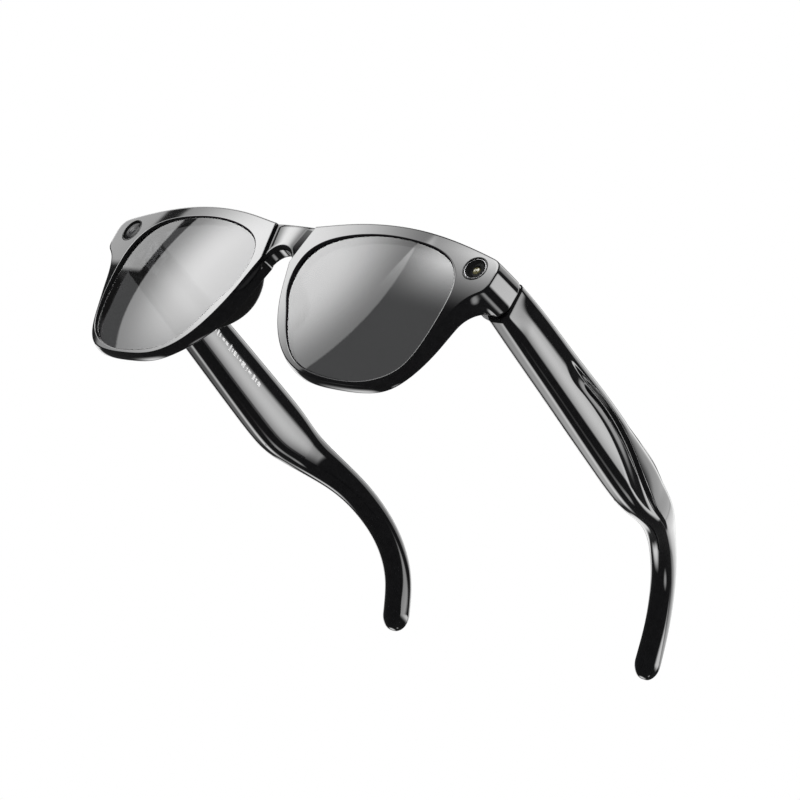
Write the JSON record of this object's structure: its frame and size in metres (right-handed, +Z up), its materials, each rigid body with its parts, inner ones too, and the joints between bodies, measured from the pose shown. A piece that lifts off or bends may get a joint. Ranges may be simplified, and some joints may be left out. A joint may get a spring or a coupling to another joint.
{
  "type": "smart glasses",
  "caption": "Glossy smart glasses with tinted lenses, a camera and a capture light in the front, and folding temples that hold the electronics.",
  "frame": {"origin": "under the middle of the object, on the surface that the rims and temple tips stand on, with the temples open", "axes": "+X to the wearer's left, +Y back along the temples, +Z up"},
  "size_m": [0.1424, 0.1521, 0.0495],
  "materials": {
    "frame_gloss": "polished",
    "cover_gloss": "polished",
    "tinted_lens": "polished",
    "pad_plastic": "polished",
    "ring_metal": "satin",
    "optic_glass": "polished",
    "lens_barrel": "matte",
    "light_window": "smoked",
    "board_green": "satin",
    "flex_amber": "satin",
    "hinge_steel": "brushed",
    "contact_gold": "polished",
    "battery_foil": "satin",
    "shield_tin": "satin",
    "speaker_black": "matte",
    "button_gloss": "polished"
  },
  "bodies": {
    "front": {"bridge_microphone": "speaker_black", "brow_cover": "cover_gloss", "camera_barrel": "lens_barrel", "camera_cover_glass": "optic_glass", "camera_lens": "optic_glass", "camera_sensor": "board_green", "camera_trim_ring": "ring_metal", "capture_light_board": "board_green", "capture_light_ring": "ring_metal", "capture_light_window": "light_window", "charging_contacts": "contact_gold", "end_cover_left": "cover_gloss", "end_cover_right": "cover_gloss", "front_flex": "flex_amber", "front_frame": "frame_gloss", "hinge_front_leaf_left": "hinge_steel", "hinge_front_leaf_right": "hinge_steel", "hinge_front_screws_left": "hinge_steel", "hinge_front_screws_right": "hinge_steel", "hinge_pin_left": "hinge_steel", "hinge_pin_right": "hinge_steel", "lens_left": "tinted_lens", "lens_right": "tinted_lens", "nose_pad_left": "pad_plastic", "nose_pad_right": "pad_plastic"},
    "temple_left": {"battery": "battery_foil", "charge_board": "board_green", "hinge_temple_leaf_left": "hinge_steel", "hinge_temple_screws_left": "hinge_steel", "power_switch_body": "speaker_black", "speaker_grille_left": "speaker_black", "speaker_left": "speaker_black", "temple_cover_left": "cover_gloss", "temple_flex_left": "flex_amber", "temple_microphone_left": "speaker_black", "temple_shell_left": "frame_gloss"},
    "temple_right": {"capture_switch": "speaker_black", "hinge_temple_leaf_right": "hinge_steel", "hinge_temple_screws_right": "hinge_steel", "main_board": "board_green", "processor_shield": "shield_tin", "radio_module": "shield_tin", "speaker_grille_right": "speaker_black", "speaker_right": "speaker_black", "temple_cover_right": "cover_gloss", "temple_flex_right": "flex_amber", "temple_microphone_right": "speaker_black", "temple_shell_right": "frame_gloss", "touch_sensor": "flex_amber"},
    "capture_button": {"capture_button": "button_gloss"},
    "power_slider": {"power_slider": "button_gloss"}
  },
  "joints": [
    {"name": "fold_left", "type": "hinge", "parent": "front", "child": "temple_left", "pos_m": [0.0626, -0.0576, 0.0383], "axis": [0, 0, 1], "range_deg": [0, 85]},
    {"name": "fold_right", "type": "hinge", "parent": "front", "child": "temple_right", "pos_m": [-0.0626, -0.0576, 0.0383], "axis": [0, 0, -1], "range_deg": [0, 68]},
    {"name": "capture_press", "type": "slide", "parent": "temple_right", "child": "capture_button", "axis": [0, -0.0872, -0.9962], "range_m": [0, 0.0005], "stiffness_N_per_m": 2000},
    {"name": "power_slide", "type": "slide", "parent": "temple_left", "child": "power_slider", "axis": [0, 0.993, -0.1184], "range_m": [0, 0.0018]}
  ]
}
